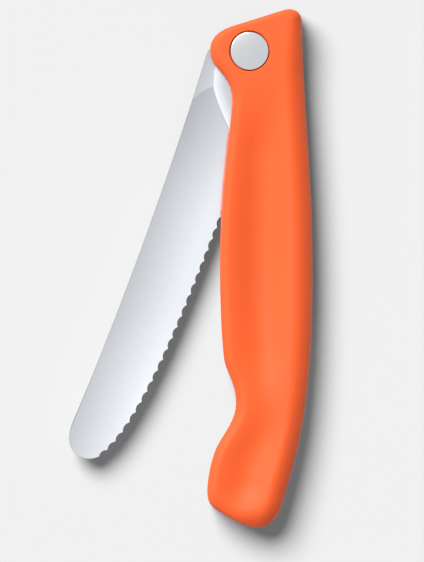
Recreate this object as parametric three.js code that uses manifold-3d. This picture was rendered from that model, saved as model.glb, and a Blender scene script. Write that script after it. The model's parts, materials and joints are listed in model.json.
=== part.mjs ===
// Folding paring knife: a serrated, round-tipped blade on a slip-joint pivot between two moulded handle halves.
// Millimetres, +Z up. The knife lies on its rear half. The origin is on the pivot axis, in the plane it rests on:
// +Y runs towards the handle's top, -X towards the open side of the blade slot.
import * as THREE from 'three';
import { mergeVertices } from 'three/addons/utils/BufferGeometryUtils.js';
import Module from 'manifold-3d';

const wasm = await Module();
wasm.setup();

// Blade: lengths run from the pivot axis along the blade, reaches square to that
const bladeReach = 117.7;
const bladeThickness = 1.5;
const spineReach = 10.45;
const spineStart = 4.2;
const spineDip = 2.9;
const shoulderRound = 2.6;
const edgeReach = 8.2;
const edgeThickness = 0.3;
const heelStart = 13.7;
const tipRound = 7;
const tipSide = 2.4;
const tipDrop = 9.65;
const tipPlain = 2.85;
const teethStart = 28;
const toothPitch = 3.17;
const toothDepth = 0.65;

// Grind of the blade's faces: a flat strip stays along the spine, and the grind runs out in a curved plunge line
const grindMargin = 1.05;
const plungeTop = 16.6;
const plungeShoulder = 13.65;
const plungeShoulderReach = 8.25;
const plungeTip = 12.1;
const plungeTipReach = 5.7;
const plungeBend = 15;
const plungeBendReach = 4.2;
const plungeFoot = 20.3;
const plungeFootReach = 1.15;

// Tang
const tangRadius = 6;
const notchDepth = 0.7;
const notchHalfAngle = 13;
const kickLength = 1.4;
const kickRise = 1;
const kickSweep = 100;

// Angles of the blade, in degrees
const shutLean = 1;
const restOpening = 21;
const fullOpening = 180;

// Handle: reaches run from the pivot axis across the handle, drops down along it, and rises up from the axis
const handleThickness = 13;
const flareReach = 10.45;
const flareRise = 0.4;
const waistReach = 4.6;
const waistDrop = 13;
const bellyReach = 7.85;
const bellyDrop = 57.1;
const lipReach = 6.75;
const lipToEnd = 44.9;
const pinchReach = 3.6;
const pinchToEnd = 33.2;
const footReach = 8.95;
const footToEnd = 20.9;
const buttReach = 11.25;
const buttToEnd = 9.8;
const cornerReach = 8.85;
const cornerToEnd = 4.8;
const endReach = 2.2;
const buttBackReach = 8.77;
const buttBackToEnd = 6.5;
const backBellyDrop = 59.1;
const tipRoom = 9.3;
const slantReach = 4.4;
const slantRise = 6.7;
const slantAngle = 17.4;
const topCorner = 4.8;
const backTopRise = 7.8;
const frontRound = 2.2;
const frontRoundDrop = 2.8;
const backRound = 5.2;
const backRoundDrop = 4.6;
const dishDepth = 1.7;
const dishStart = 8;
const dishFull = 34;
const dishToEnd = 2;
const dishFade = 9.8;
const spineWall = 3.27;
const stopWall = 3.2;

// Pivot
const headRadius = 4.95;
const headThickness = 1.5;
const headDome = 0.4;
const headProud = 0.5;
const headEdge = 0.25;
const shankRadius = 1.6;
const sleeveWall = 0.8;
const bushWall = 0.9;
const washerRadius = 5.4;
const washerThickness = 0.4;

// Leaf spring and pins
const springWidth = 3.4;
const springThickness = 1.8;
const springLength = 72;
const springElbow = 18;
const springPinRadius = 0.8;
const springPinStep = 34;
const noseAngle = -12;
const noseRadius = 1.1;
const armWidth = 2.2;
const armElbow = 4;
const armRecess = 0.9;
const armRoom = 2;
const stopPinRadius = 1.25;
const stopPinAngle = -45;
const stopPinOff = 1.55;
const buttPinRadius = 1.2;
const buttPinReach = 0.8;
const pinSink = 2.8;

// Fits
const runningGap = 0.1;
const headGap = 0.13;
const clearance = 0.3;
const bladeSide = 0.35;
const springSide = 0.2;

// Fineness
const roundSteps = 40;
const pinSteps = 20;
const curveSteps = 14;
const outlineSteps = 400;
const edgeSteps = 4;
const gripRows = 39;
const dishColumns = 6;

// Sizes that follow from the ones above
const degree = Math.PI / 180;
const midZ = handleThickness / 2;
const slotHalf = Math.max(bladeThickness / 2 + bladeSide, springThickness / 2 + springSide);
const bladeRoom = bladeReach + 2 * clearance;
const handleEnd = bladeReach + tipRoom;
const shutDirection = shutLean - 90;
const restDirection = shutDirection - restOpening;
const shutEdgeReach = edgeReach + bladeReach / 2 * Math.sin(shutLean * degree) + clearance;
const springFront = shutEdgeReach + clearance;
const springBack = springFront + springWidth;
const springMiddle = springFront + springWidth / 2;
const backReach = springBack + clearance + spineWall;
const stopReach = spineReach + clearance;
const backTopReach = stopReach + stopWall;
const sleeveBore = shankRadius + runningGap;
const sleeveRadius = sleeveBore + sleeveWall;
const bushBore = sleeveRadius + runningGap;
const bushRadius = bushBore + bushWall;
const bladeBore = bushRadius + runningGap;
const bushHalf = bladeThickness / 2 + runningGap;
const washerBottom = bushHalf + runningGap;
const washerTop = washerBottom + washerThickness;
const washerSeat = washerTop + runningGap;
const headSeat = midZ - headThickness - runningGap;

const point = (x, y) => new THREE.Vector2(x, y);
const polar = (radius, degrees) => point(radius * Math.cos(degrees * degree), radius * Math.sin(degrees * degree));
const smoothStep = (value) => {
  const x = Math.min(Math.max(value, 0), 1);
  return x * x * (3 - 2 * x);
};

// Where the spring's nose and the pins stand
const nosePlace = polar(tangRadius + clearance + noseRadius, noseAngle);
const armBack = stopReach + armRecess;
const armTop = nosePlace.y + noseRadius;
const stopPinReach = tangRadius + stopPinOff + stopPinRadius;
const stopPinPlace = polar(stopPinReach, stopPinAngle);
const springEndPlace = point(springMiddle, springWidth / 2 - springLength);
const springCentrePlace = point(springMiddle, springEndPlace.y + springPinStep);
const buttPinPlace = point(buttPinReach, -(bladeRoom + handleEnd) / 2);

// A closed geometry as a solid, and a solid as a geometry
function solidOf(geometry) {
  const plain = geometry.clone();
  plain.deleteAttribute('normal');
  plain.deleteAttribute('uv');
  const merged = mergeVertices(plain, 1e-4);
  const vertProperties = new Float32Array(merged.attributes.position.array);
  const triVerts = new Uint32Array(merged.index.array);
  return new wasm.Manifold(new wasm.Mesh({ numProp: 3, vertProperties, triVerts }));
}

function geometryOf(solid) {
  const mesh = solid.getMesh();
  const geometry = new THREE.BufferGeometry();
  geometry.setAttribute('position', new THREE.BufferAttribute(new Float32Array(mesh.vertProperties), 3));
  geometry.setIndex(new THREE.BufferAttribute(new Uint32Array(mesh.triVerts), 1));
  geometry.computeVertexNormals();
  return geometry;
}

// An upright cylinder, a plate with a given outline, and a turned piece about the pivot axis
function cylinder(radius, bottom, top, place, steps = roundSteps) {
  const geometry = new THREE.CylinderGeometry(radius, radius, top - bottom, steps);
  geometry.rotateX(Math.PI / 2);
  geometry.translate(place.x, place.y, (bottom + top) / 2);
  return solidOf(geometry);
}

function plate(outline, bottom, top) {
  const geometry = new THREE.ExtrudeGeometry(new THREE.Shape(outline), { depth: top - bottom, bevelEnabled: false });
  geometry.translate(0, 0, bottom);
  return solidOf(geometry);
}

function turned(profile) {
  const geometry = new THREE.LatheGeometry(profile, roundSteps);
  geometry.rotateX(Math.PI / 2);
  return solidOf(geometry);
}

// A curve from one bend of an outline to the next. Each bend has the outline's heading there in degrees, and its
// pull on the curve as a share of the distance to the bend before it and the one after it.
function curveBetween(from, to) {
  const distance = from.at.distanceTo(to.at);
  const leave = polar(distance * from.after, from.heading).add(from.at);
  const arrive = polar(-distance * to.before, to.heading).add(to.at);
  return new THREE.CubicBezierCurve(from.at, leave, arrive, to.at);
}

// The handle's outline, anticlockwise from the flare: front side, butt, back, top
function handleOutline() {
  const slantStart = point(-slantReach, slantRise);
  const slantEnd = point(backTopReach - topCorner, 0);
  slantEnd.y = slantRise + (slantEnd.x - slantStart.x) * Math.tan(slantAngle * degree);
  const bends = [
    { at: point(-flareReach, flareRise), heading: 270, before: 0.37, after: 0.39 },
    { at: point(-waistReach, -waistDrop), heading: 270, before: 0.5, after: 0.13 },
    { at: point(-bellyReach, -bellyDrop), heading: 270, before: 0.51, after: 0.36 },
    { at: point(-lipReach, lipToEnd - handleEnd), heading: 278, before: 0.2, after: 0.25 },
    { at: point(-pinchReach, pinchToEnd - handleEnd), heading: 270, before: 0.43, after: 0.37 },
    { at: point(-footReach, footToEnd - handleEnd), heading: 246, before: 0.33, after: 0.25 },
    { at: point(-buttReach, buttToEnd - handleEnd), heading: 270, before: 0.27, after: 0.47 },
    { at: point(-cornerReach, cornerToEnd - handleEnd), heading: 328, before: 0.34, after: 0.31 },
    { at: point(endReach, -handleEnd), heading: 0, before: 0.33, after: 0.33 },
    { at: point(buttBackReach, buttBackToEnd - handleEnd), heading: 73, before: 0.42, after: 0.24 },
    { at: point(backReach, -backBellyDrop), heading: 90, before: 0.56, after: 0.43 },
    { at: point(backTopReach, backTopRise), heading: 91, before: 0.37, after: 0.49 },
    { at: slantEnd, heading: 180 + slantAngle, before: 0.46, after: 0.33 },
    { at: slantStart, heading: 180 + slantAngle, before: 0.33, after: 0.41 },
  ];
  const path = new THREE.CurvePath();
  bends.forEach((bend, i) => path.add(curveBetween(bend, bends[(i + 1) % bends.length])));
  return path;
}

// How far along the outline its furthest point in a direction lies
function furthest(path, degrees) {
  const direction = polar(1, degrees);
  const samples = 2 * outlineSteps;
  let best = 0;
  let reach = -Infinity;
  for (let i = 0; i < samples; i += 1) {
    const along = path.getPoint(i / samples).dot(direction);
    if (along > reach) {
      reach = along;
      best = i / samples;
    }
  }
  return best;
}

function distanceTo(outline, place) {
  let nearest = Infinity;
  for (let i = 0; i < outline.length; i += 1) {
    const from = outline[i];
    const step = outline[(i + 1) % outline.length].clone().sub(from);
    const share = place.clone().sub(from).dot(step) / step.lengthSq();
    const foot = from.clone().addScaledVector(step, Math.min(Math.max(share, 0), 1));
    nearest = Math.min(nearest, foot.distanceTo(place));
  }
  return nearest;
}

// One moulded half above the parting plane: rounded at its edges, with a long shallow dish along the grip.
// The skin is a loft between the four sides of the outline, with rows along the handle and columns across it.
function handleHalf() {
  const path = handleOutline();
  const outline = path.getSpacedPoints(outlineSteps).slice(0, -1);
  const cornerHeadings = [143, 225, 307, 45];
  const [frontTop, frontButt, backButt, backTop] = cornerHeadings.map((degrees) => furthest(path, degrees));
  const side = (from, to) => (share) => path.getPoint((from + (to - from) * share + 1) % 1);
  const front = side(frontTop - 1, frontButt);
  const butt = side(frontButt, backButt);
  const back = side(backTop, backButt);
  const top = side(frontTop, backTop);
  const length = handleEnd + slantRise;
  const width = bellyReach + backReach;
  const rounds = Array.from({ length: edgeSteps + 1 }, (_, i) => 1 - Math.cos(Math.PI / 2 * i / edgeSteps));
  const between = (low, high, steps) => Array.from(
    { length: steps - 1 },
    (_, i) => low + (high - low) * (i + 1) / steps,
  );
  const endRows = rounds.map((share) => share * frontRound / length);
  const rowEdge = endRows[edgeSteps];
  const rows = endRows.concat(between(rowEdge, 1 - rowEdge, gripRows), endRows.map((v) => 1 - v).reverse());
  const frontColumns = rounds.map((share) => share * frontRound / width);
  const backColumns = rounds.map((share) => 1 - share * backRound / width).reverse();
  const dishLow = frontColumns[edgeSteps];
  const dishHigh = backColumns[0];
  const columns = frontColumns.concat(between(dishLow, dishHigh, dishColumns), backColumns);
  const corners = [top(0), top(1), butt(0), butt(1)];
  const shiftMargin = 1 / 6;
  const positions = [];
  rows.forEach((v) => columns.forEach((u) => {
    const place = front(v).multiplyScalar(1 - u).addScaledVector(back(v), u);
    place.addScaledVector(top(u), 1 - v).addScaledVector(butt(u), v);
    place.addScaledVector(corners[0], -(1 - u) * (1 - v)).addScaledVector(corners[1], -u * (1 - v));
    place.addScaledVector(corners[2], -(1 - u) * v).addScaledVector(corners[3], -u * v);
    const inset = distanceTo(outline, place);
    const across = Math.min(Math.max((u - dishLow) / (dishHigh - dishLow), 0), 1);
    const towardsBack = smoothStep((across - shiftMargin) / (1 - 2 * shiftMargin));
    const round = frontRound + (backRound - frontRound) * towardsBack;
    const fall = frontRoundDrop + (backRoundDrop - frontRoundDrop) * towardsBack;
    const lack = Math.max(1 - inset / round, 0);
    const edge = fall * (1 - Math.sqrt(Math.max(1 - lack * lack, 0)));
    const along = smoothStep((-place.y - dishStart) / (dishFull - dishStart));
    const fade = smoothStep((handleEnd + place.y - dishToEnd) / dishFade);
    const dish = dishDepth * along * fade * Math.sin(Math.PI * across) ** 2;
    positions.push(place.x, place.y, midZ - edge - dish);
  }));
  return loftAbovePlane(positions, rows.length, columns.length);
}

// Closes a grid of points with a wall down to the plane z = 0 and a flat underside
function loftAbovePlane(positions, rowCount, columnCount) {
  const at = (row, column) => row * columnCount + column;
  const faces = [];
  for (let row = 0; row + 1 < rowCount; row += 1) {
    for (let column = 0; column + 1 < columnCount; column += 1) {
      const [a, b] = [at(row, column), at(row, column + 1)];
      const [c, d] = [at(row + 1, column), at(row + 1, column + 1)];
      faces.push(a, c, b, b, c, d);
    }
  }
  const rim = [];
  for (let row = 0; row < rowCount; row += 1) rim.push(at(row, 0));
  for (let column = 1; column < columnCount; column += 1) rim.push(at(rowCount - 1, column));
  for (let row = rowCount - 2; row >= 0; row -= 1) rim.push(at(row, columnCount - 1));
  for (let column = columnCount - 2; column > 0; column -= 1) rim.push(at(0, column));
  const base = positions.length / 3;
  const contour = rim.map((i) => point(positions[i * 3], positions[i * 3 + 1]));
  contour.forEach((corner) => positions.push(corner.x, corner.y, 0));
  rim.forEach((upper, i) => {
    const next = (i + 1) % rim.length;
    faces.push(upper, base + i, base + next, upper, base + next, rim[next]);
  });
  THREE.ShapeUtils.triangulateShape(contour, []).forEach(([a, b, c]) => faces.push(base + a, base + c, base + b));
  const geometry = new THREE.BufferGeometry();
  geometry.setAttribute('position', new THREE.Float32BufferAttribute(positions, 3));
  geometry.setIndex(faces);
  return solidOf(geometry);
}

// The space between the halves, open to the front and the top, for the blade's swing and the spring
function slotOutline() {
  const outside = 2 * backReach;
  const slotBack = springBack + clearance;
  const tailDrop = springLength + clearance;
  const buttDrop = Math.sqrt(bladeRoom ** 2 - buttReach ** 2);
  const recessBack = armBack + clearance;
  const recessTop = armTop + armRoom;
  const shape = new THREE.Path();
  shape.moveTo(-outside, outside);
  shape.lineTo(-outside, -buttDrop);
  shape.lineTo(-buttReach, -buttDrop);
  shape.absarc(0, 0, bladeRoom, Math.atan2(-buttDrop, -buttReach), -Math.PI / 2, false);
  shape.quadraticCurveTo(edgeReach, -bladeRoom, edgeReach, -(bladeRoom + tailDrop) / 2);
  shape.lineTo(shutEdgeReach, -tailDrop);
  shape.lineTo(slotBack, -tailDrop);
  shape.lineTo(slotBack, -springElbow);
  shape.lineTo(recessBack, -armElbow);
  shape.lineTo(recessBack, recessTop);
  shape.lineTo(stopReach, recessTop);
  shape.lineTo(stopReach, outside);
  return shape.getPoints(curveSteps);
}

function cutHalf(half) {
  const under = -slotHalf;
  const deep = slotHalf + pinSink + clearance;
  const pins = [
    [stopPinPlace, stopPinRadius],
    [springEndPlace, springPinRadius],
    [springCentrePlace, springPinRadius],
    [buttPinPlace, buttPinRadius],
  ];
  const holes = pins.map(([place, radius]) => cylinder(radius + runningGap, under, deep, place, pinSteps));
  const centre = point(0, 0);
  holes.push(cylinder(sleeveRadius + runningGap, under, handleThickness, centre));
  holes.push(cylinder(washerRadius + runningGap, under, washerSeat, centre));
  holes.push(cylinder(headRadius + headGap, headSeat, handleThickness, centre));
  holes.push(plate(slotOutline(), under, slotHalf));
  return holes.reduce((body, hole) => body.subtract(hole), half);
}

// Blade outline in its own frame, x from the pivot towards the tip and y towards the edge: the spine, the round
// tip, then the edge from tip to heel, plain at both ends, with a shallow bite for each tooth
function bladeOutline() {
  const spineRoot = { at: point(spineStart, -spineReach), heading: spineDip, after: 0.33 };
  const spineEnd = { at: point(bladeReach - tipRound, -spineReach), heading: -spineDip, before: 0.33, after: 0.52 };
  const tip = { at: point(bladeReach - tipSide, tipDrop - spineReach), heading: 143, before: 0.58, after: 0.132 };
  const heel = { at: point(heelStart, edgeReach), heading: 180, before: 0.55 };
  const edge = curveBetween(tip, heel);
  const spineCurve = curveBetween(spineRoot, spineEnd);
  const tipCurve = curveBetween(spineEnd, tip);
  const outline = spineCurve.getPoints(curveSteps).concat(tipCurve.getPoints(curveSteps).slice(1));
  const edgeLength = edge.getLength();
  const teeth = Math.floor((edgeLength - tipPlain - (teethStart - heelStart)) / toothPitch);
  const biteSteps = 4;
  for (let step = 1; step <= biteSteps; step += 1) {
    outline.push(edge.getPointAt(tipPlain / edgeLength * step / biteSteps));
  }
  for (let step = 1; step <= teeth * biteSteps; step += 1) {
    const along = (tipPlain + step / biteSteps * toothPitch) / edgeLength;
    const share = step / biteSteps % 1;
    const bite = 4 * toothDepth * share * (1 - share);
    const tangent = edge.getTangentAt(along);
    outline.push(point(-tangent.y, tangent.x).multiplyScalar(bite).add(edge.getPointAt(along)));
  }
  const plainStart = (tipPlain + teeth * toothPitch) / edgeLength;
  for (let step = 1; step <= biteSteps; step += 1) {
    outline.push(edge.getPointAt(plainStart + (1 - plainStart) * step / biteSteps));
  }
  return outline.concat(tangOutline());
}

// The tang's end: the kick for the stop pin, the round with a notch for each end of the blade's swing, the shoulder
function tangOutline() {
  const pin = polar(stopPinReach, stopPinAngle - shutDirection);
  const seat = stopPinRadius + clearance;
  const arcSteps = 5;
  const outline = [point(pin.x + seat + kickLength, edgeReach - kickRise)];
  for (let step = 0; step <= arcSteps; step += 1) {
    outline.push(polar(seat, -kickSweep * step / arcSteps).add(pin));
  }
  const shutNotch = noseAngle - shutDirection;
  const openNotch = shutNotch + fullOpening;
  const roundStart = shutNotch - notchHalfAngle;
  const roundSweep = fullOpening + 2 * notchHalfAngle;
  const tangSteps = Math.round(roundSweep / (notchHalfAngle / 4));
  for (let step = 0; step <= tangSteps; step += 1) {
    const degrees = roundStart + roundSweep * step / tangSteps;
    const offset = Math.min(Math.abs(degrees - shutNotch), Math.abs(degrees - openNotch)) / notchHalfAngle;
    const dip = offset < 1 ? notchDepth * Math.cos(offset * Math.PI / 2) ** 2 : 0;
    outline.push(polar(tangRadius - dip, degrees));
  }
  for (let step = 0; step < arcSteps; step += 1) {
    const corner = polar(shoulderRound, 180 + 90 * step / arcSteps);
    outline.push(corner.add(point(spineStart, shoulderRound - spineReach)));
  }
  return outline;
}

// The part of each face that is ground away, wedge-wise from the spine to the edge, up to the curved plunge line
function groundWedge() {
  const outside = 2 * spineReach;
  const strip = grindMargin - spineReach;
  const shape = new THREE.Path();
  shape.moveTo(bladeReach + outside, -outside);
  shape.lineTo(plungeFoot, -outside);
  shape.lineTo(plungeTop, strip);
  shape.quadraticCurveTo(plungeShoulder, -plungeShoulderReach, plungeTip, -plungeTipReach);
  shape.quadraticCurveTo(plungeBend, -plungeBendReach, plungeFoot, plungeFootReach);
  shape.quadraticCurveTo((plungeFoot + teethStart) / 2, edgeReach / 2, teethStart, outside);
  shape.lineTo(bladeReach + outside, outside);
  const depth = 4 * bladeThickness;
  const geometry = new THREE.ExtrudeGeometry(
    new THREE.Shape(shape.getPoints(curveSteps)),
    { depth, bevelEnabled: false },
  );
  geometry.translate(0, -strip, 0);
  geometry.rotateX(-Math.atan2((bladeThickness - edgeThickness) / 2, edgeReach - strip));
  geometry.translate(0, strip, bladeThickness / 2);
  return solidOf(geometry);
}

function makeBlade() {
  const half = bladeThickness / 2;
  const wedge = groundWedge();
  const bore = cylinder(bladeBore, -bladeThickness, bladeThickness, point(0, 0));
  const body = plate(bladeOutline(), -half, half);
  return body.subtract(wedge).subtract(wedge.mirror([0, 0, 1])).subtract(bore);
}

// Leaf spring: a straight leaf on two pins, and an arm that ends in a round nose on the tang
function makeSpring() {
  const leafTop = springCentrePlace.y + springWidth;
  const armFront = armBack - armWidth;
  const armThroat = nosePlace.y - noseRadius;
  const shape = new THREE.Path();
  shape.moveTo(springFront, -springLength);
  shape.lineTo(springBack, -springLength);
  shape.lineTo(springBack, leafTop);
  shape.quadraticCurveTo(springBack, -springElbow, armBack, -armElbow);
  shape.lineTo(armBack, armTop);
  shape.absarc(nosePlace.x, nosePlace.y, noseRadius, Math.PI / 2, Math.PI * 1.5, false);
  shape.lineTo(armFront, armThroat - runningGap);
  shape.lineTo(armFront, -armElbow - armWidth);
  shape.quadraticCurveTo(springFront, -springElbow, springFront, leafTop);
  const half = springThickness / 2;
  const leaf = plate(shape.getPoints(curveSteps), -half, half);
  const hole = (place) => cylinder(springPinRadius + runningGap, -springThickness, springThickness, place, pinSteps);
  return leaf.subtract(hole(springEndPlace)).subtract(hole(springCentrePlace));
}

// Pivot: a domed rivet in front whose shank goes into a flat-headed sleeve from behind
function makeRivet() {
  const crown = midZ + headProud;
  const seat = midZ - headThickness;
  const shankEnd = headThickness - midZ;
  const profile = [point(0, shankEnd), point(shankRadius, shankEnd), point(shankRadius, seat), point(headRadius, seat)];
  const domeSteps = 8;
  for (let step = 0; step <= domeSteps; step += 1) {
    const share = 1 - step / domeSteps;
    profile.push(point(headRadius * share, crown - headDome * share ** 2));
  }
  return turned(profile);
}

function makeSleeve() {
  const bottom = -midZ;
  const seat = bottom + headThickness;
  return turned([
    point(0, bottom),
    point(headRadius - headEdge, bottom),
    point(headRadius, bottom + headEdge),
    point(headRadius, seat),
    point(sleeveRadius, seat),
    point(sleeveRadius, headSeat),
    point(sleeveBore, headSeat),
    point(sleeveBore, seat - runningGap),
    point(0, seat - runningGap),
  ]);
}

function makeRing(inner, outer, bottom, top) {
  const profile = [point(inner, bottom), point(outer, bottom), point(outer, top), point(inner, top)];
  return turned(profile.concat([profile[0]]));
}

function makePin(place, radius) {
  return cylinder(radius, -slotHalf - pinSink, slotHalf + pinSink, place, pinSteps);
}

const orangePlastic = new THREE.MeshStandardMaterial({ color: 0xf8733f, roughness: 0.45, metalness: 0 });
const bladeSteel = new THREE.MeshStandardMaterial({ color: 0xd8dade, roughness: 0.28, metalness: 1 });
const springSteel = new THREE.MeshStandardMaterial({ color: 0xa9adb3, roughness: 0.35, metalness: 1 });
const rivetSteel = new THREE.MeshStandardMaterial({ color: 0xd2d4d6, roughness: 0.25, metalness: 1 });
const bronze = new THREE.MeshStandardMaterial({ color: 0xb08d57, roughness: 0.4, metalness: 1 });

// Everything above is drawn about the parting plane, which lies half the handle's thickness up
const knife = new THREE.Group();
const handle = new THREE.Group();
const swing = new THREE.Group();
handle.position.z = midZ;
swing.position.z = midZ;
swing.rotation.z = restDirection * degree;
knife.add(handle, swing);

function addPiece(group, name, solid, material) {
  const mesh = new THREE.Mesh(geometryOf(solid), material);
  mesh.name = name;
  group.add(mesh);
}

const half = cutHalf(handleHalf());
addPiece(handle, 'handle_front', half, orangePlastic);
addPiece(handle, 'handle_back', half.mirror([0, 0, 1]), orangePlastic);
addPiece(handle, 'back_spring', makeSpring(), springSteel);
addPiece(handle, 'spring_centre_pin', makePin(springCentrePlace, springPinRadius), springSteel);
addPiece(handle, 'spring_end_pin', makePin(springEndPlace, springPinRadius), springSteel);
addPiece(handle, 'stop_pin', makePin(stopPinPlace, stopPinRadius), springSteel);
addPiece(handle, 'butt_pin', makePin(buttPinPlace, buttPinRadius), springSteel);
addPiece(handle, 'pivot_rivet', makeRivet(), rivetSteel);
addPiece(handle, 'pivot_sleeve', makeSleeve(), rivetSteel);
addPiece(handle, 'washer_front', makeRing(bushBore, washerRadius, washerBottom, washerTop), bronze);
addPiece(handle, 'washer_back', makeRing(bushBore, washerRadius, -washerTop, -washerBottom), bronze);
addPiece(swing, 'blade', makeBlade(), bladeSteel);
addPiece(swing, 'pivot_bush', makeRing(bushBore, bushRadius, -bushHalf, bushHalf), bronze);

export default knife;
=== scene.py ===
# Folding paring knife: orange moulded handle, serrated round-tipped blade, riveted slip-joint pivot
import json
import math
import bpy
import numpy as np
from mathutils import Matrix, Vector
from mathutils.geometry import interpolate_bezier


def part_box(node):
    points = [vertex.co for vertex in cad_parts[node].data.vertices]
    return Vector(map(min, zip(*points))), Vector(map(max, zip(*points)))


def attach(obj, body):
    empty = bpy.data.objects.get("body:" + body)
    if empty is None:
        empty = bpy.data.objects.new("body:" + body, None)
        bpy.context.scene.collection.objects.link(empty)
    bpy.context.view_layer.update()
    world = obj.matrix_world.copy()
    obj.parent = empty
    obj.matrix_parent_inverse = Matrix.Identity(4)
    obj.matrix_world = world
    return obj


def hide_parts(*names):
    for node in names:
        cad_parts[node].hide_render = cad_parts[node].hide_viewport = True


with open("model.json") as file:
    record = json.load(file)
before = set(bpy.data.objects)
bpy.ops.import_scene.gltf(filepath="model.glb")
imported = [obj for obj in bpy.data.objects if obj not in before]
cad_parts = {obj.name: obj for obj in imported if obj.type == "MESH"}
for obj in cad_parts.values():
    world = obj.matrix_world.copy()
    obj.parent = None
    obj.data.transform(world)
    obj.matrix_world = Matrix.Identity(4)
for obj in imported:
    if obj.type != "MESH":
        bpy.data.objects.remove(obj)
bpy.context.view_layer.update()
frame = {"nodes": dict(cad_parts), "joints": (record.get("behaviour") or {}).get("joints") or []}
nodes = frame["nodes"]
hinge = frame["joints"][0]
print("frame loaded with", len(nodes), "pieces")

mm = 0.001
overrun = 1 * mm  # how far a cutter runs past a face
scene = bpy.context.scene
scene.view_settings.view_transform = "Standard"

# the parting plane between the halves, and the blade's angles, all from the frame
midZ = hinge["pos_m"][2]
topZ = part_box("handle_front")[1].z
handleEnd = -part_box("handle_front")[0].y / mm
restOpening = -hinge["range_deg"][0]
shutLean = 1  # degrees between the shut blade and the handle's line
restDirection = math.radians(shutLean - 90 - restOpening)


# Helpers for modelling

def startFresh():
    if bpy.context.object and bpy.context.object.mode != "OBJECT":
        bpy.ops.object.mode_set(mode="OBJECT")
    bpy.ops.object.select_all(action="DESELECT")


def pick(piece):
    startFresh()
    bpy.context.view_layer.objects.active = piece
    piece.select_set(True)


def editAll(kind):
    bpy.ops.object.mode_set(mode="EDIT")
    bpy.ops.mesh.select_mode(type=kind)
    bpy.ops.mesh.select_all(action="SELECT")


def closeEdit():
    # leaves edit mode with every face pointing outwards
    bpy.ops.mesh.select_all(action="SELECT")
    bpy.ops.mesh.normals_make_consistent(inside=False)
    bpy.ops.object.mode_set(mode="OBJECT")


def corners(piece):
    places = np.zeros(len(piece.data.vertices) * 3)
    piece.data.vertices.foreach_get("co", places)
    return places.reshape(-1, 3)


def placeCorners(piece, places):
    piece.data.vertices.foreach_set("co", np.asarray(places, float).ravel())
    piece.data.update()


def edgeEnds(piece):
    ends = np.zeros(len(piece.data.edges) * 2, int)
    piece.data.edges.foreach_get("vertices", ends)
    return ends.reshape(-1, 2)


def bevelEdges(piece, wanted, size, steps):
    # wanted is a yes or no for each edge
    pick(piece)
    editAll("EDGE")
    bpy.ops.mesh.select_all(action="DESELECT")
    bpy.ops.object.mode_set(mode="OBJECT")
    piece.data.edges.foreach_set("select", np.asarray(wanted, bool))
    bpy.ops.object.mode_set(mode="EDIT")
    bpy.ops.mesh.bevel(offset=size * mm, segments=steps, affect="EDGES", clamp_overlap=False)
    bpy.ops.object.mode_set(mode="OBJECT")
    print("bevel on", piece.name, int(wanted.sum()), "edges")


def cut(piece, cutter):
    pick(piece)
    bpy.ops.object.modifier_add(type="BOOLEAN")
    boolean = piece.modifiers[-1]
    boolean.operation = "DIFFERENCE"
    boolean.solver = "EXACT"
    boolean.object = cutter
    bpy.ops.object.modifier_apply(modifier=boolean.name)
    bpy.data.objects.remove(cutter)


def plate(name, outline, low, high):
    # a flat plate: a filled ring of corners, pulled to the outline and extruded upwards
    startFresh()
    bpy.ops.mesh.primitive_circle_add(vertices=len(outline), radius=0.01, fill_type="NGON")
    piece = bpy.context.object
    piece.name = name
    placeCorners(piece, [(x, y, low) for x, y in outline])
    editAll("FACE")
    bpy.ops.mesh.extrude_region_move(TRANSFORM_OT_translate={"value": (0, 0, high - low)})
    closeEdit()
    return piece


def turned(name, rings, steps, place=(0, 0)):
    # a round piece: a filled ring of corners, extruded and resized from one (radius, height) to the next
    startFresh()
    radius, height = rings[0]
    bpy.ops.mesh.primitive_circle_add(vertices=steps, radius=radius, fill_type="NGON")
    piece = bpy.context.object
    piece.name = name
    placeCorners(piece, corners(piece) + (*place, height))
    editAll("EDGE")
    for nextRadius, nextHeight in rings[1:]:
        bpy.ops.mesh.extrude_edges_move(TRANSFORM_OT_translate={"value": (0, 0, nextHeight - height)})
        grow = nextRadius / radius
        bpy.ops.transform.resize(value=(grow, grow, 1), center_override=(*place, nextHeight))
        radius, height = nextRadius, nextHeight
    bpy.ops.mesh.edge_face_add()
    bpy.ops.mesh.select_all(action="SELECT")
    bpy.ops.mesh.remove_doubles(threshold=1e-7)
    closeEdit()
    return piece


def drill(piece, radius, low, high, steps, place=(0, 0)):
    # a plain round hole; its radius is in millimetres
    cut(piece, turned("drill", [(radius * mm, low), (radius * mm, high)], steps, place))


def roundedCorner(radius, height, size, fromTurn, toTurn, steps=6):
    # rings of a rounded rim about (radius, height), in turns of 90 degrees
    rings = []
    for i in range(steps + 1):
        turn = (fromTurn + (toTurn - fromTurn) * i / steps) * math.pi / 2
        rings.append((radius + size * math.cos(turn), height + size * math.sin(turn)))
    return rings


def finishPiece(piece, body, node, material, angle=35):
    pick(piece)
    bpy.ops.object.shade_smooth_by_angle(angle=math.radians(angle))
    piece.data.materials.clear()
    piece.data.materials.append(material)
    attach(piece, body)
    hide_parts(node)
    print(piece.name, len(piece.data.polygons), "faces")


# Helpers for outlines

def heading(degrees):
    return Vector((math.cos(math.radians(degrees)), math.sin(math.radians(degrees)), 0))


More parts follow.
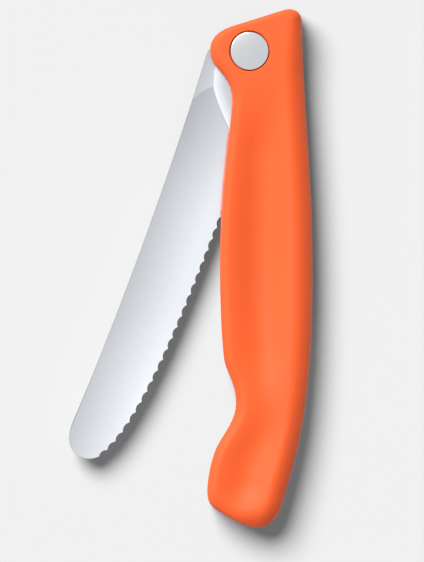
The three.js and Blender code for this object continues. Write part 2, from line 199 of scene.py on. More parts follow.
def bendCurve(bends, steps, closed=True):
    # a smooth run through bends of (x, y, heading, pull before, pull after)
    # a pull is a share of the distance to the next bend
    run = []
    last = len(bends) if closed else len(bends) - 1
    for i in range(last):
        fromX, fromY, fromHeading, _, after = bends[i]
        toX, toY, toHeading, before, _ = bends[(i + 1) % len(bends)]
        start = Vector((fromX, fromY, 0))
        end = Vector((toX, toY, 0))
        gap = (end - start).length
        leave = start + gap * after * heading(fromHeading)
        arrive = end - gap * before * heading(toHeading)
        run += [point.xy for point in interpolate_bezier(start, leave, arrive, end, steps + 1)[:-1]]
    if not closed:
        run.append(Vector(bends[-1][:2]))
    return np.array(run)


def softBend(start, towards, end, steps):
    # points of a curve that leaves for one place and ends at another, without its start
    t = np.linspace(0, 1, steps + 1)[1:, None]
    return (1 - t) ** 2 * np.array(start) + 2 * t * (1 - t) * np.array(towards) + t * t * np.array(end)


def arc(centre, radius, degrees):
    # points on a circle at the given angles
    turns = np.radians(degrees)
    return np.array(centre) + radius * np.stack([np.cos(turns), np.sin(turns)], axis=1)


def lengthsAlong(run):
    steps = np.linalg.norm(np.diff(run, axis=0), axis=1)
    return np.concatenate([[0], np.cumsum(steps)])


def pointsAlong(run, shares):
    lengths = lengthsAlong(run)
    wanted = np.asarray(shares) * lengths[-1]
    return np.stack([np.interp(wanted, lengths, run[:, 0]), np.interp(wanted, lengths, run[:, 1])], axis=-1)


def nearestOn(run, places):
    # distance from each place to a run of points, and how far along the run the nearest spot lies
    step = np.diff(run, axis=0)
    size = np.einsum("ij,ij->i", step, step)
    lengths = lengthsAlong(run)
    distances = np.zeros(len(places))
    along = np.zeros(len(places))
    for i, place in enumerate(places):
        share = np.clip(np.einsum("ij,ij->i", place - run[:-1], step) / size, 0, 1)
        gaps = np.linalg.norm(run[:-1] + share[:, None] * step - place, axis=1)
        k = gaps.argmin()
        distances[i] = gaps[k]
        along[i] = lengths[k] + share[k] * math.sqrt(size[k])
    return distances, along


def inside(run, places):
    # yes for places inside the closed run
    yes = np.zeros(len(places), bool)
    px, py = places[:, 0], places[:, 1]
    for (x0, y0), (x1, y1) in zip(run, np.roll(run, -1, axis=0)):
        crosses = (y0 > py) != (y1 > py)
        with np.errstate(divide="ignore", invalid="ignore"):
            yes ^= crosses & (px < (x1 - x0) * (py - y0) / (y1 - y0) + x0)
    return yes


def smooth(values):
    x = np.clip(values, 0, 1)
    return x * x * (3 - 2 * x)


def hump(values, middle, length):
    return np.exp(-((values - middle) / length) ** 2)


def spread(low, high, steps):
    return low + (high - low) * np.arange(1, steps) / steps


def loft(front, back, top, butt, rows, columns):
    # a patch between four sides: front and back run from top to butt, top and butt from front to back
    u = columns[None, :, None]
    v = rows[:, None, None]
    f, b = pointsAlong(front, rows)[:, None], pointsAlong(back, rows)[:, None]
    t, e = pointsAlong(top, columns)[None], pointsAlong(butt, columns)[None]
    place = f * (1 - u) + b * u + t * (1 - v) + e * v
    place -= front[0] * (1 - u) * (1 - v) + back[0] * u * (1 - v)
    place -= front[-1] * (1 - u) * v + back[-1] * u * v
    return place.reshape(-1, 2)


# Helpers for materials

def newMaterial(name):
    material = bpy.data.materials.new(name)
    material.use_nodes = True
    tree = material.node_tree
    shader = tree.nodes["Principled BSDF"]
    where = tree.nodes.new("ShaderNodeTexCoord")
    return material, tree, shader, where.outputs["Object"]


def plug(tree, node, links):
    # each link is a socket's name or number and what goes in it: another socket or a plain value
    for socket, source in links:
        if isinstance(source, bpy.types.NodeSocket):
            tree.links.new(source, node.inputs[socket])
        else:
            node.inputs[socket].default_value = source


def addNode(tree, kind, links, **settings):
    node = tree.nodes.new(kind)
    for key, value in settings.items():
        setattr(node, key, value)
    plug(tree, node, links)
    return node


def noise(tree, where, scale, detail):
    links = [("Vector", where), ("Scale", scale), ("Detail", detail)]
    return addNode(tree, "ShaderNodeTexNoise", links).outputs["Fac"]


def mapRange(tree, value, low, high):
    links = [("Value", value), ("To Min", low), ("To Max", high)]
    return addNode(tree, "ShaderNodeMapRange", links).outputs["Result"]


def mixColour(tree, factor, first, second):
    links = [(0, factor), (6, first), (7, second)]
    return addNode(tree, "ShaderNodeMix", links, data_type="RGBA").outputs[2]


def calculate(tree, operation, first, second):
    return addNode(tree, "ShaderNodeMath", [(0, first), (1, second)], operation=operation).outputs["Value"]


def blend(tree, first, firstShare, second):
    # two noises added in shares that make up one
    firstPart = calculate(tree, "MULTIPLY", first, firstShare)
    secondPart = calculate(tree, "MULTIPLY", second, 1 - firstShare)
    return calculate(tree, "ADD", firstPart, secondPart)


def bump(tree, height, strength, distance, shader):
    links = [("Height", height), ("Strength", strength), ("Distance", distance)]
    node = addNode(tree, "ShaderNodeBump", links)
    tree.links.new(node.outputs["Normal"], shader.inputs["Normal"])


# Materials
plasticLook = {
    "pale": (1, 0.139, 0.034, 1),
    "deep": (0.98, 0.129, 0.0305, 1),
    "cloudScale": 45,
    "grainScale": 2600,
    "grainShare": 0.4,
    "grainStrength": 0.5,
    "grainDepth": 0.012 * mm,
    "waveScale": 120,
    "roughness": (0.46, 0.56),
    "ior": 1.49,
    "specular": 0.2,
}


def orangePlastic():
    look = plasticLook
    material, tree, shader, where = newMaterial("orangePlastic")
    cloud = noise(tree, where, look["cloudScale"], 3)
    grain = noise(tree, where, look["grainScale"], 1)
    wave = noise(tree, where, look["waveScale"], 2)
    gloss = blend(tree, grain, look["grainShare"], wave)
    plug(tree, shader, [
        ("Base Color", mixColour(tree, cloud, look["deep"], look["pale"])),
        ("Roughness", mapRange(tree, gloss, *look["roughness"])),
        ("IOR", look["ior"]),
        ("Specular IOR Level", look["specular"]),
    ])
    bump(tree, grain, look["grainStrength"], look["grainDepth"], shader)
    return material


metalLooks = {
    "spring": {"dark": (0.38, 0.39, 0.41, 1), "light": (0.52, 0.53, 0.55, 1), "roughness": (0.32, 0.48)},
    "rivet": {"dark": (0.576, 0.592, 0.616, 1), "light": (0.634, 0.648, 0.67, 1), "roughness": (0.17, 0.22)},
    "bronze": {"dark": (0.42, 0.27, 0.11, 1), "light": (0.6, 0.42, 0.2, 1), "roughness": (0.3, 0.45)},
}
metalGrain = {"mottleScale": 300, "grainScale": 2700, "strength": 0.3, "depth": 0.004 * mm}


def turnedMetal(name):
    # plain metal with faint mottling and fine grain
    look = metalLooks[name]
    material, tree, shader, where = newMaterial(name + "Metal")
    mottle = noise(tree, where, metalGrain["mottleScale"], 3)
    grain = noise(tree, where, metalGrain["grainScale"], 2)
    plug(tree, shader, [
        ("Base Color", mixColour(tree, mottle, look["dark"], look["light"])),
        ("Roughness", mapRange(tree, grain, *look["roughness"])),
        ("Metallic", 1),
    ])
    bump(tree, grain, metalGrain["strength"], metalGrain["depth"], shader)
    return material


bladeLook = {
    "tint": (0.97, 1.0, 1.055, 1),
    "roughness": (0.17, 0.25),
    "cloudScale": 60,
    "lineScale": 5200,
    "lineStretch": (1, 0.02, 1),
    "lineShare": 0.6,
    "lineStrength": 0.35,
    "lineDepth": 0.002 * mm,
    "lineShade": 0.95,
}


def groundSteel():
    # satin steel with fine lines ground square to the edge; how pale it is comes from the blade's tone
    # attribute, which holds its finish zones with painted reflection and painted shade
    look = bladeLook
    material, tree, shader, where = newMaterial("groundSteel")
    turn = addNode(tree, "ShaderNodeMapping", [("Vector", where), ("Rotation", (0, 0, -restDirection))])
    links = [("Vector", turn.outputs["Vector"]), ("Scale", look["lineStretch"])]
    stretched = addNode(tree, "ShaderNodeMapping", links)
    line = noise(tree, stretched.outputs["Vector"], look["lineScale"], 2)
    cloud = noise(tree, where, look["cloudScale"], 2)
    # the paleness painted onto the blade: finish zones with painted reflection and painted shade
    tone = addNode(tree, "ShaderNodeAttribute", [], attribute_name="tone").outputs["Fac"]
    shade = calculate(tree, "MULTIPLY", tone, mapRange(tree, line, look["lineShade"], 1))
    rough = blend(tree, line, look["lineShare"], cloud)
    plug(tree, shader, [
        ("Base Color", mixColour(tree, shade, (0, 0, 0, 1), look["tint"])),
        ("Roughness", mapRange(tree, rough, *look["roughness"])),
        ("Metallic", 1),
    ])
    bump(tree, line, look["lineStrength"], look["lineDepth"], shader)
    return material


orange = orangePlastic()
bladeSteel = groundSteel()
springSteel = turnedMetal("spring")
rivetSteel = turnedMetal("rivet")
bronze = turnedMetal("bronze")
print("materials made")


# Handle halves, in millimetres: bends of the outline, anticlockwise from the flare beside the blade
handle = {
    "bends": [
        (-10.45, 0.4, 270, 0.37, 0.39),
        (-4.6, -13, 270, 0.5, 0.13),
        (-7.85, -57.1, 270, 0.51, 0.36),
        (-6.75, -82.1, 278, 0.2, 0.25),
        (-3.6, -93.8, 270, 0.43, 0.37),
        (-8.95, -106.1, 246, 0.33, 0.25),
        (-11.25, -117.2, 270, 0.27, 0.47),
        (-8.85, -122.2, 328, 0.34, 0.31),
        (2.2, -127, 0, 0.33, 0.33),
        (8.77, -120.5, 73, 0.42, 0.24),
        (16.8, -59.1, 90, 0.56, 0.43),
        (13.95, 7.8, 91, 0.37, 0.49),
        (9.15, 10.95, 197.4, 0.46, 0.33),
        (-4.4, 6.7, 197.4, 0.33, 0.41),
    ],
    "bendSteps": 60,
    "cornerHeadings": (143, 225, 307, 45),  # front top, front butt, back butt, back top
    "sideSteps": 1200,
    # the rim's roll: bend, counted along the outline, then width, slope and whole fall at the wall
    "rolls": [
        (0, 2.4, 0.5, 2.6),
        (1, 2.6, 0.62, 2.8),
        (2, 2.5, 0.62, 2.8),
        (3, 2.8, 0.62, 2.8),
        (4, 3.6, 0.55, 2.8),
        (5, 3, 0.62, 2.8),
        (6, 2.9, 0.62, 2.8),
        (7, 3.6, 0.6, 3),
        (8, 5, 0.85, 4),
        (9, 4.6, 1, 4.8),
        (10, 5.2, 1.05, 5),
        (10.8, 5.2, 1.05, 4.9),
        (11, 3.6, 1, 4.2),
        (11.5, 2.4, 0.75, 3.3),
        (12, 1.2, 0.5, 2.4),
        (13, 1.2, 0.5, 2.4),
        (14, 2.4, 0.5, 2.6),
    ],
    "rollKnee": 0.75,
    "rimRound": 0.8,
    # the loft's grid, closer together in bands at the rim
    "frontBand": 2.2,
    "backBand": 5.2,
    "loftTop": 6.3,
    "loftWidth": 24.5,
    "rows": 230,
    "columns": 34,
    "edgeSteps": 14,
    # the grip's hollow
    "dishDepth": 1.8,
    "dishSwell": 0.68,
    "swellY": -55,
    "swellLength": 28,
    "dishStart": 7,
    "dishFull": 28,
    "dishToEnd": 2,
    "dishFade": 9.8,
    "dishEase": 0.65,
    "notchY": -93.8,
    "notchLength": 9,
    "dishSkew": 1.12,
    "dishRim": 0.3,
    # the inside
    "slotHalf": 1.1,
    "slotRim": (0.4, 4),  # size, steps
    "partingRim": (0.14, 2),
    "rimReach": 0.05,
    "headRoom": 5.38,
    "headSeat": 1.6,
    "headRim": 0.2,
    "headSteps": 96,
    "sleeveRoom": 2.6,
    "boreSteps": 64,
    "washerRoom": 5.5,
    "washerSeat": 1.45,
    "washerSteps": 80,
    "pinHoleDepth": 4.2,
    "pinSteps": 32,
    "pins": [(6.223, -6.223, 1.35), (11.53, -70.3, 0.9), (11.53, -36.3, 0.9), (0.8, -122.65, 1.3)],
}

# the slot for the blade and the spring, seen from above; it runs out through the front and the top
slot = {
    "outside": 34,
    "bladeRoom": 118.3,
    "buttReach": 11.25,
    "edgeReach": 8.2,
    "springTail": 72.3,
    "shutEdge": 9.53,
    "springBack": 13.53,
    "elbowDrop": 18,
    "armDrop": 4,
    "armBack": 11.95,
    "armTop": 1.56,
    "stopReach": 10.75,
    "curveSteps": 14,
}


def handleSides(outline):
    # the outline, split at its four corners for the loft
    lengths = lengthsAlong(np.concatenate([outline, outline[:1]]))
    twice = np.concatenate([outline, outline, outline[:1]])
    corner = []
    for degrees in handle["cornerHeadings"]:
        farthest = (outline @ np.array(heading(degrees).xy)).argmax()
        corner.append(lengths[farthest] / lengths[-1])
    frontTop, frontButt, backButt, backTop = corner
    if frontButt < frontTop:  # the outline's start lies on the front
        frontButt, backButt, backTop = frontButt + 1, backButt + 1, backTop + 1

    def side(start, end):
        return pointsAlong(twice, np.linspace(start, end, handle["sideSteps"]) / 2)

    front = side(frontTop, frontButt)
    back = side(backButt, backTop)[::-1]
    top = side(backTop, frontTop + 1)[::-1]
    butt = side(frontButt, backButt)
    return front, back, top, butt


def rimFall(outline, place):
    # the rim rolls off gently, then turns down in a tight round at the outline
    h = handle
    ring = np.concatenate([outline, outline[:1]])
    lengths = lengthsAlong(ring)
    inset, along = nearestOn(ring, place)
    bendAt = np.append(lengths[:-1:h["bendSteps"]], lengths[-1])
    bend = np.interp(along, bendAt, np.arange(len(bendAt)))
    rolls = np.array(h["rolls"])
    width, slope, fall = (np.interp(bend, rolls[:, 0], rolls[:, i]) for i in (1, 2, 3))
    knee = h["rollKnee"]
    lack = np.clip(1 - inset / width, 0, 1)
    roll = slope * width * np.where(lack < knee, lack * lack / knee / 2, lack - knee / 2)
    tight = np.clip(1 - inset / h["rimRound"], 0, 1)
    return roll + (fall - slope * width * (1 - knee / 2)) * (1 - np.sqrt(1 - tight * tight))


def gripHollow(y, across):
    # the long hollow in the grip, shallow beside the notch and gone at the pivot and the butt
    h = handle
    start = smooth((-y - h["dishStart"]) / (h["dishFull"] - h["dishStart"]))
    fade = smooth((handleEnd + y - h["dishToEnd"]) / h["dishFade"])
    ease = 1 - h["dishEase"] * hump(y, h["notchY"], h["notchLength"])
    swell = 1 + h["dishSwell"] * hump(y, h["swellY"], h["swellLength"])
    spot = across ** h["dishSkew"]
    section = h["dishRim"] * 4 * spot * (1 - spot) + (1 - h["dishRim"]) * np.sin(np.pi * spot) ** 2
    return h["dishDepth"] * start * fade * ease * swell * section


def handleSkin(outline):
    # places of the top skin's corners, and its count of rows and columns
    h = handle
    rounds = 1 - np.cos(np.pi / 2 * np.arange(h["edgeSteps"] + 1) / h["edgeSteps"])
    endRows = rounds * h["frontBand"] / (handleEnd + h["loftTop"])
    frontColumns = rounds * h["frontBand"] / h["loftWidth"]
    backColumns = (1 - rounds * h["backBand"] / h["loftWidth"])[::-1]
    low, high = frontColumns[-1], backColumns[0]
    rows = np.concatenate([endRows, spread(endRows[-1], 1 - endRows[-1], h["rows"]), 1 - endRows[::-1]])
    columns = np.concatenate([frontColumns, spread(low, high, h["columns"]), backColumns])
    place = loft(*handleSides(outline), rows, columns)
    across = np.clip((np.tile(columns, len(rows)) - low) / (high - low), 0, 1)
    height = (topZ - midZ) / mm - rimFall(outline, place) - gripHollow(place[:, 1], across)
    return np.column_stack([place, height]), len(rows), len(columns)


def slotOutline():
    s = slot
    room, out = s["bladeRoom"], s["outside"]
    drop = math.sqrt(room ** 2 - s["buttReach"] ** 2)
    fromTurn = math.degrees(math.atan2(-drop, -s["buttReach"]))
    kneeY = -(room + s["springTail"]) / 2
    run = [(-out, out), (-out, -drop)]
    run += arc((0, 0), room, np.linspace(fromTurn, -90, s["curveSteps"] + 1)).tolist()
    run += softBend((0, -room), (s["edgeReach"], -room), (s["edgeReach"], kneeY), s["curveSteps"]).tolist()
    run += [
        (s["shutEdge"], -s["springTail"]),
        (s["springBack"], -s["springTail"]),
        (s["springBack"], -s["elbowDrop"]),
        (s["armBack"], -s["armDrop"]),
        (s["armBack"], s["armTop"]),
        (s["stopReach"], s["armTop"]),
        (s["stopReach"], out),
    ]
    return np.array(run)


def makeHandleFront(outline):
    places, rowCount, columnCount = handleSkin(outline)
    startFresh()
    bpy.ops.mesh.primitive_grid_add(x_subdivisions=columnCount - 1, y_subdivisions=rowCount - 1, size=0.1)
    half = bpy.context.object
    half.name = "handleFront"
    placeCorners(half, places * mm + (0, 0, midZ))
    # walls down to the parting plane, and a flat underside
    editAll("EDGE")
    bpy.ops.mesh.select_all(action="DESELECT")
    bpy.ops.mesh.select_non_manifold()
    bpy.ops.mesh.extrude_edges_move(TRANSFORM_OT_translate={"value": (0, 0, -overrun)})
    bpy.ops.transform.resize(value=(1, 1, 0), center_override=(0, 0, midZ))
    bpy.ops.mesh.edge_face_add()
    closeEdit()
    slotFloor = midZ + handle["slotHalf"] * mm
    cut(half, plate("slotCutter", slotOutline() * mm, midZ - 2 * overrun, slotFloor))
    print("handle skin", rowCount, "by", columnCount, "corners, slot cut")
    return half


def makeRims(half, outline):
    # soft rims along the slot's mouth and the parting line
    h = handle
    ring = np.concatenate([outline, outline[:1]]) * mm
    for level, (size, steps) in ((h["slotHalf"], h["slotRim"]), (0, h["partingRim"])):
        co = corners(half)
        ends = edgeEnds(half)
        onRim = np.abs(co[:, 2] - midZ - level * mm) < 1e-6
        where = np.flatnonzero(onRim)
        distance, _ = nearestOn(ring, co[where, :2])
        onRim[where] = distance < h["rimReach"] * mm
        bevelEdges(half, onRim[ends[:, 0]] & onRim[ends[:, 1]], size, steps)


def makeHoles(half):
    h = handle
    low = midZ - overrun
    rim = h["headRim"] * mm
    room = h["headRoom"] * mm
    flare = roundedCorner(room + rim, topZ - rim, rim, 2, 1)
    rings = [(room, topZ - h["headSeat"] * mm)] + flare + [(room + rim, topZ + overrun)]
    cut(half, turned("headCutter", rings, h["headSteps"]))
    drill(half, h["sleeveRoom"], low, topZ, h["boreSteps"])
    drill(half, h["washerRoom"], low, midZ + h["washerSeat"] * mm, h["washerSteps"])
    for x, y, radius in h["pins"]:
        drill(half, radius, low, midZ + h["pinHoleDepth"] * mm, h["pinSteps"], (x * mm, y * mm))
    print("seats and", len(h["pins"]), "pin holes cut")


def mirrorHalf(half):
    # the rear half is the front one mirrored in the parting plane
    pick(half)
    bpy.ops.object.duplicate()
    other = bpy.context.object
    other.name = "handleBack"
    editAll("FACE")
    bpy.ops.transform.resize(value=(1, 1, -1), center_override=(0, 0, midZ))
    closeEdit()
    return other


handleOutline = bendCurve(handle["bends"], handle["bendSteps"])
handleFront = makeHandleFront(handleOutline)
makeRims(handleFront, handleOutline)
makeHoles(handleFront)
handleBack = mirrorHalf(handleFront)
finishPiece(handleFront, "handle", "handle_front", orange)
finishPiece(handleBack, "handle", "handle_back", orange)


# Blade, in millimetres in its own frame: x from the pivot to the tip, y from the spine to the edge
blade = {
    "thickness": 1.5,
    "spine": [(4.2, -10.45, 2.9, 0, 0.33), (109.6, -10.45, -2.9, 0.33, 0.574)],
    "tip": [(109.6, -10.45, -2.9, 0.33, 0.574), (115.3, -0.75, 132.5, 0.545, 0)],
    "edge": [(115.3, -0.75, 143, 0, 0.132), (13.7, 8.2, 180, 0.55, 0)],
    "spineSteps": 200,
    "tipSteps": 120,
    "edgeSteps": 1600,
    "columns": 64,
    "rootRows": 64,
    "chamfer": 0.12,
    "bore": 3.6,
    "boreSteps": 64,
    "smoothAngle": 30,
    # the grind: a wedge from the spine to the edge, up to the plunge line
    "edgeThickness": 0.3,
    "grindTop": -9.4,
    "grindFoot": 8.2,
    "grindCurve": 1.25,
    "plunge": [(16.6, -9.4), (13.65, -8.25, 12.1, -5.7), (15, -4.2, 20.3, 1.15), (24.2, 4, 28, 20)],
    "plungeSteps": 24,
    "plungeWidth": 0.35,
    "beyondTip": 140,
    "beyondEdge": 20,
    # the teeth, counted from the tip, and the hollow behind each on the rear face
    "toothPitch": 3.17,
    "toothDepth": 0.65,
    "tipTooth": 2.85,
    "teethStart": 14.3,
    "toothSteps": 10,
    "toothReach": 4,
    "scallopSlope": 0.27,
    "scallopStart": 20,
    "edgeLip": 0.06,
}

# the tang, from the heel round the pivot to the shoulder
tang = {
    "kick": (1.4, 7.2),
    "stopPin": (8.8, 44),  # distance from the pivot, degrees
    "stopSeat": 1.55,
    "stopSweep": -100,
    "stopSteps": 8,
    "radius": 6,
    "roundFrom": 64,
    "roundTo": 270,
    "roundSteps": 120,
    "notches": (77, 257),
    "notchHalf": 13,
    "notchDepth": 0.7,
    "shoulder": (4.2, -7.85),
    "shoulderRound": 2.6,
}

# how pale the steel is: satin on the grind, polished beyond the plunge line; on top of these finishes it
# holds painted reflection, paler towards the edge and the tip, and painted shade, darker at the root, towards
# the tang's spine and across the crescent towards the handle
tone = {
    "satin": 0.6,
    # painted reflection: the grind grows paler from the spine towards the edge
    "satinRise": 0.0245,
    "satinFrom": -7.9,
    "satinRange": (0.5, 0.9),
    # painted shade: the grind darker towards the root beside the handle
    "rootDim": 0.16,
    "rootFrom": 12,
    "rootLength": 37,
    # painted reflection: the grind paler towards the tip
    "tipGain": 0.08,
    "tipFrom": 68,
    "tipLength": 30,
    "groundTop": (17.6, -14),
    "shoulder": 0.57,
    # painted shade: the tang darker towards its spine
    "shoulderRise": 0.03,
    "shoulderFrom": -9.8,
    "crescentTop": (8.3, -7),
    "crescentBack": -10,
    # the crescent's paleness is a real polish with painted reflection; it fades with painted shade away from
    # the plunge line towards the handle
    "crescent": 0.98,
    "crescentFall": 0.11,
    "crescentRange": (0.66, 1),
}


def tangRun():
    t = tang
    stopDistance, stopTurn = t["stopPin"]
    stop = arc((0, 0), stopDistance, [stopTurn])[0]
    kick = [(stop[0] + t["stopSeat"] + t["kick"][0], t["kick"][1])]
    seat = arc(stop, t["stopSeat"], np.linspace(0, t["stopSweep"], t["stopSteps"] + 1))
    degrees = np.linspace(t["roundFrom"], t["roundTo"], t["roundSteps"] + 1)
    offset = np.min([np.abs(degrees - notch) for notch in t["notches"]], axis=0) / t["notchHalf"]
    dip = t["notchDepth"] * np.where(offset < 1, np.cos(offset * math.pi / 2) ** 2, 0)
    around = arc((0, 0), (t["radius"] - dip)[:, None], degrees)
    shoulder = arc(t["shoulder"], t["shoulderRound"], np.arange(180, 270, 10))
    return np.concatenate([kick, seat, around, shoulder])


def plungeRun():
    start, *curves = blade["plunge"]
    run = [start]
    for towardsX, towardsY, endX, endY in curves:
        run += softBend(run[-1], (towardsX, towardsY), (endX, endY), blade["plungeSteps"]).tolist()
    return np.array(run)


def beyondPlunge(flat, above):
    # how far each place lies past the plunge line, towards the tip; above closes the region over the spine
    b = blade
    plunge = plungeRun()
    region = np.concatenate([plunge, [(b["beyondTip"], b["beyondEdge"])], above])
    distance, _ = nearestOn(plunge, flat)
    return np.where(inside(region, flat), distance, 0)


def toothCount(length):
    return math.floor((length - blade["tipTooth"] - blade["teethStart"]) / blade["toothPitch"])


def toothBite(along, length):
    # depth of the bite at a place along the edge, and whether it is in the teeth
    b = blade
    count = (along - b["tipTooth"]) / np.where(along < b["tipTooth"], b["tipTooth"], b["toothPitch"])
    toothed = (count > -1) & (count < toothCount(length))
    share = count % 1
    return np.where(toothed, 4 * b["toothDepth"] * share * (1 - share), 0), toothed


def bladeFinishAndPaintedLight(flat):
    b, t = blade, tone
    x, y = flat[:, 0], flat[:, 1]
    aboveX, aboveY = t["groundTop"]
    ground = smooth(beyondPlunge(flat, [(b["beyondTip"], aboveY), (aboveX, aboveY)]) / b["plungeWidth"] * 2)
    # painted reflection and shade on the satin grind: paler towards the edge and the tip, darker at the root
    satin = np.clip(t["satin"] + t["satinRise"] * (y - t["satinFrom"]), *t["satinRange"])
    satin *= 1 - t["rootDim"] + t["rootDim"] * smooth((x - t["rootFrom"]) / t["rootLength"])
    satin *= 1 + t["tipGain"] * smooth((x - t["tipFrom"]) / t["tipLength"])
    # the bright polished crescent lies under the plunge line's second curve; its paleness is a real polish
    # with painted reflection
    steps = b["plungeSteps"]
    crescent = np.concatenate([[t["crescentTop"]], plungeRun()[steps:2 * steps + 1]])
    toCrescent, _ = nearestOn(crescent, flat)
    foot = [(b["plunge"][-1][2], b["beyondEdge"]), (t["crescentBack"], b["beyondEdge"])]
    under = inside(np.concatenate([crescent, foot, [(t["crescentBack"], t["crescentTop"][1])]]), flat)
    # painted shade: the crescent darkens away from the plunge line towards the handle, and the tang darkens
    # towards its spine
    crescentPolishAndPaintedShade = np.clip(t["crescent"] - t["crescentFall"] * toCrescent, *t["crescentRange"])
    polishedAndPaintedShade = np.where(under, crescentPolishAndPaintedShade, t["shoulder"] + t["shoulderRise"] * (y - t["shoulderFrom"]))
    return polishedAndPaintedShade + (satin - polishedAndPaintedShade) * ground


def bladePlan(spine, tip, edgeRun):
    # the blade seen flat: a loft from spine to edge with a row of corners for each step of a tooth
    b = blade
    length = lengthsAlong(edgeRun)[-1]
    teeth = toothCount(length)
    tipRows = np.linspace(0, b["tipTooth"], b["toothSteps"] + 1)[:-1]
    toothRows = b["tipTooth"] + np.arange(teeth * b["toothSteps"] + 1) * b["toothPitch"] / b["toothSteps"]
    rootRows = np.linspace(toothRows[-1], length, b["rootRows"])[1:]
    rows = 1 - np.concatenate([tipRows, toothRows, rootRows])[::-1] / length
    columns = np.linspace(0, 1, b["columns"])
    root = np.array([spine[0], edgeRun[-1]])
    place = loft(spine, edgeRun[::-1], root, tip, rows, columns)
    # each bite is full at the edge and gone a few millimetres in
    distance, along = nearestOn(edgeRun, place)
    bite, _ = toothBite(along, length)
    ease = smooth(1 - distance / b["toothReach"])
    nearEdge = np.tile(columns, len(rows)) > 0.5
    step = np.diff(edgeRun, axis=0)
    inward = np.stack([-step[:, 1], step[:, 0]], axis=1) / np.linalg.norm(step, axis=1, keepdims=True)
    at = np.clip(np.searchsorted(lengthsAlong(edgeRun), along) - 1, 0, len(inward) - 1)
    return place + inward[at] * (bite * ease * nearEdge)[:, None], len(rows), len(columns)


def flatBlade(place, rowCount, columnCount):
    # the plan as a mesh, with the tang joined on at the root, extruded to two sheets one unit apart
    startFresh()
    bpy.ops.mesh.primitive_grid_add(x_subdivisions=columnCount - 1, y_subdivisions=rowCount - 1, size=0.1)
    piece = bpy.context.object
    piece.name = "bladeBody"
    placeCorners(piece, np.column_stack([place, np.zeros(len(place))]))
    tangOutline = np.concatenate([place[:columnCount], tangRun()])
    startFresh()
    bpy.ops.mesh.primitive_circle_add(vertices=len(tangOutline), radius=1, fill_type="NGON")
    placeCorners(bpy.context.object, np.column_stack([tangOutline, np.zeros(len(tangOutline))]))
    piece.select_set(True)
    bpy.context.view_layer.objects.active = piece
    bpy.ops.object.join()
    editAll("FACE")
    bpy.ops.mesh.remove_doubles(threshold=1e-5)
    bpy.ops.mesh.normals_make_consistent(inside=False)
    bpy.ops.mesh.extrude_region_move(TRANSFORM_OT_translate={"value": (0, 0, -1)})
    bpy.ops.object.mode_set(mode="OBJECT")
    return piece


def bladeFaces(flat, edgeRun):
    # heights of the front and rear faces above the blade's middle
    b = blade
    half = b["thickness"] / 2
    ground = smooth(beyondPlunge(flat, [(b["beyondTip"], b["grindTop"])]) / b["plungeWidth"])
    wedge = np.clip((flat[:, 1] - b["grindTop"]) / (b["grindFoot"] - b["grindTop"]), 0, 1)
    face = half - (half - b["edgeThickness"] / 2) * wedge ** b["grindCurve"] * ground
    # the rear face has a hollow ground behind each bite
    toEdge, along = nearestOn(edgeRun, flat)
    bite, toothed = toothBite(along, lengthsAlong(edgeRun)[-1])
    hollow = face - b["edgeLip"] - np.maximum(toEdge - bite, 0) * b["scallopSlope"]
    hollowed = toothed & (flat[:, 0] > b["scallopStart"])
    return face, np.where(hollowed, np.maximum(-face, hollow), -face)


def makeBlade():
    b = blade
    spine = bendCurve(b["spine"], b["spineSteps"], closed=False)
    tip = bendCurve(b["tip"], b["tipSteps"], closed=False)
    edgeRun = bendCurve(b["edge"], b["edgeSteps"], closed=False)
    piece = flatBlade(*bladePlan(spine, tip, edgeRun))
    co = corners(piece)
    flat = co[:, :2]
    rear = co[:, 2] < -0.5
    face, rearFace = bladeFaces(flat, edgeRun)
    co[:, 2] = np.where(rear, rearFace, face)
    placeCorners(piece, co * mm)
    pick(piece)
    editAll("FACE")
    closeEdit()
    print("blade ground,", toothCount(lengthsAlong(edgeRun)[-1]) + 1, "teeth")
    # a small chamfer along the spine and round the tip, on both faces
    toRim, _ = nearestOn(np.concatenate([spine, tip[1:]]), flat)
    onRim = toRim < 1e-3
    start, end = edgeEnds(piece).T
    bevelEdges(piece, onRim[start] & onRim[end] & (rear[start] == rear[end]), b["chamfer"], 1)
    drill(piece, b["bore"], -2 * overrun, 2 * overrun, b["boreSteps"])
    # the blade's paleness, its finish zones with painted reflection and painted shade, kept on its corners
    finishAndPaintedLightLayer = piece.data.attributes.new("tone", "FLOAT", "POINT")
    finishAndPaintedLightLayer.data.foreach_set("value", bladeFinishAndPaintedLight(corners(piece)[:, :2] / mm))
    # out of its own frame to the angle at rest
    piece.rotation_euler.z = restDirection
    piece.location.z = midZ
    pick(piece)
    bpy.ops.object.transform_apply(location=True, rotation=True, scale=True)
    return piece


finishPiece(makeBlade(), "blade", "blade", bladeSteel, blade["smoothAngle"])


# Pivot, in millimetres: a domed rivet head in front, its sleeve with a flat head behind
rivet = {
    "head": 5.06,
    "thickness": 1.5,
    "rim": 0.2,
    "rimTurn": 0.92,
    "dome": 0.22,
    "domeSteps": 14,
    "underChamfer": 0.15,
    "shank": 1.6,
    "shankEnd": (1.3, 0.3),  # radius at the end, length of the taper
    "sleeve": 2.5,
    "bore": 1.7,
    "sleeveChamfer": 0.1,
    "steps": 128,
}


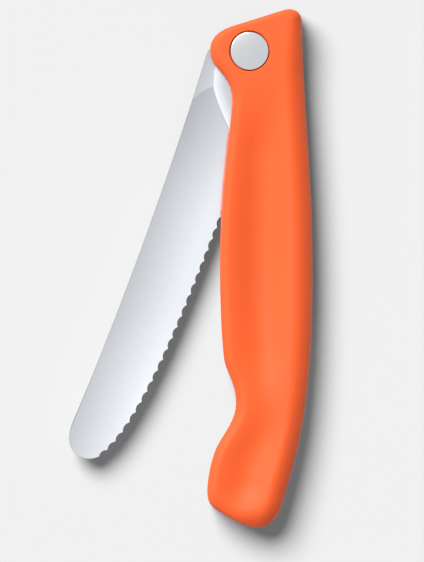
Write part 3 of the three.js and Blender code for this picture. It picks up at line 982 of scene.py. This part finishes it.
def makeRivet():
    r = rivet
    low, high = (corner.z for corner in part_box("pivot_rivet"))
    seat = topZ - r["thickness"] * mm
    head, rim, shank, under = (r[key] * mm for key in ("head", "rim", "shank", "underChamfer"))
    endRadius, taper = (size * mm for size in r["shankEnd"])
    rings = [(endRadius, low), (shank, low + taper), (shank, seat)]
    rings += [(head - under, seat), (head, seat + under)]
    rings += roundedCorner(head - rim, high - r["dome"] * mm - rim, rim, 0, r["rimTurn"])
    edgeRadius, edgeZ = rings[-1]
    for i in range(1, r["domeSteps"]):  # the dome, to a small flat at the middle
        share = 1 - i / r["domeSteps"]
        rings.append((edgeRadius * share, edgeZ + (high - edgeZ) * (1 - share ** 2)))
    return turned("pivotRivet", rings, r["steps"])


def makeSleeve():
    r = rivet
    low, high = (corner.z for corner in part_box("pivot_sleeve"))
    seat = low + r["thickness"] * mm
    head, rim, outer, bore, edge = (r[key] * mm for key in ("head", "rim", "sleeve", "bore", "sleeveChamfer"))
    rings = [(head - rim, low)] + roundedCorner(head - rim, low + rim, rim, -1, 0)[1:]
    rings += [(head, seat), (outer, seat), (outer, high - edge), (outer - edge, high)]
    rings += [(bore + edge, high), (bore, high - edge), (bore, seat - edge)]
    return turned("pivotSleeve", rings, r["steps"])


finishPiece(makeRivet(), "handle", "pivot_rivet", rivetSteel)
finishPiece(makeSleeve(), "handle", "pivot_sleeve", rivetSteel)


# Inner pieces keep their meshes and get their metals
innerMetals = {
    "washer_front": bronze,
    "washer_back": bronze,
    "pivot_bush": bronze,
    "back_spring": springSteel,
    "spring_centre_pin": springSteel,
    "spring_end_pin": springSteel,
    "stop_pin": springSteel,
    "butt_pin": springSteel,
}
for name, metal in innerMetals.items():
    nodes[name].data.materials.clear()
    nodes[name].data.materials.append(metal)
print("metals on", len(innerMetals), "inner pieces")


# Studio: pale floor, a soft key from the upper left, an even fill from above
studio = {
    "floorSize": 4,
    "floorColour": (0.74, 0.74, 0.74, 1),
    "floorPale": (0.74296, 0.74296, 0.74296, 1),
    "floorMottle": 8,
    "floorRoughness": 0.9,
    "keyPower": 3.94,
    "keyAngle": 36,
    "keyFrom": (-0.475, 0.63, 1),
    "fillPower": 0.63,
    "fillAngle": 160,
    "fillFrom": (0, 0, 1),
    "skyTop": 0.765,
    "skyLow": 0.5,
    "backdrop": 0.871,
    "lens": 900,
    "sensor": 36,
    "viewHeight": 149.87,  # millimetres across the picture's longer side
    "viewCentre": (-9.977, -61.26),
    "farthest": 20,
}


def makeFloor():
    s = studio
    startFresh()
    bpy.ops.mesh.primitive_plane_add(size=s["floorSize"])
    floor = bpy.context.object
    floor.name = "floor"
    paint, tree, shader, where = newMaterial("floorPaint")
    mottle = noise(tree, where, s["floorMottle"], 2)
    plug(tree, shader, [
        ("Base Color", mixColour(tree, mottle, s["floorColour"], s["floorPale"])),
        ("Roughness", s["floorRoughness"]),
        ("Specular IOR Level", 0),
    ])
    floor.data.materials.append(paint)


def addSun(name):
    s = studio
    bpy.ops.object.light_add(type="SUN")
    sun = bpy.context.object
    sun.name = name + "Light"
    sun.data.energy = s[name + "Power"]
    sun.data.angle = math.radians(s[name + "Angle"])
    sun.rotation_euler = Vector(s[name + "From"]).to_track_quat("Z", "Y").to_euler()


def makeSky():
    # only seen by the camera and in reflections, paler overhead than at the horizon
    s = studio
    world = bpy.data.worlds.new("studioWorld")
    scene.world = world
    world.use_nodes = True
    tree = world.node_tree
    rays = tree.nodes.new("ShaderNodeLightPath").outputs
    where = tree.nodes.new("ShaderNodeTexCoord").outputs["Generated"]
    height = addNode(tree, "ShaderNodeSeparateXYZ", [("Vector", where)]).outputs["Z"]
    sky = mapRange(tree, height, s["skyLow"], s["skyTop"])
    mirrored = calculate(tree, "MAXIMUM", rays["Is Glossy Ray"], rays["Is Transmission Ray"])
    mirrored = calculate(tree, "MULTIPLY", mirrored, sky)
    seen = calculate(tree, "MULTIPLY", rays["Is Camera Ray"], s["backdrop"])
    strength = calculate(tree, "ADD", mirrored, seen)
    plug(tree, tree.nodes["Background"], [("Strength", strength), ("Color", (1, 1, 1, 1))])


def makeCamera():
    s = studio
    bpy.ops.object.camera_add()
    camera = bpy.context.object
    camera.name = "photoCamera"
    camera.data.sensor_width = s["sensor"]
    camera.data.lens = s["lens"]
    camera.data.clip_end = s["farthest"]
    x, y = s["viewCentre"]
    away = s["viewHeight"] * s["lens"] / s["sensor"]
    camera.location = (x * mm, y * mm, midZ + away * mm)
    camera.rotation_euler = (0, 0, 0)
    scene.camera = camera


makeFloor()
addSun("key")
addSun("fill")
makeSky()
makeCamera()
for half in (handleFront, handleBack):
    half.visible_diffuse = False  # keeps the plastic's colour off the pale floor
print("studio set")
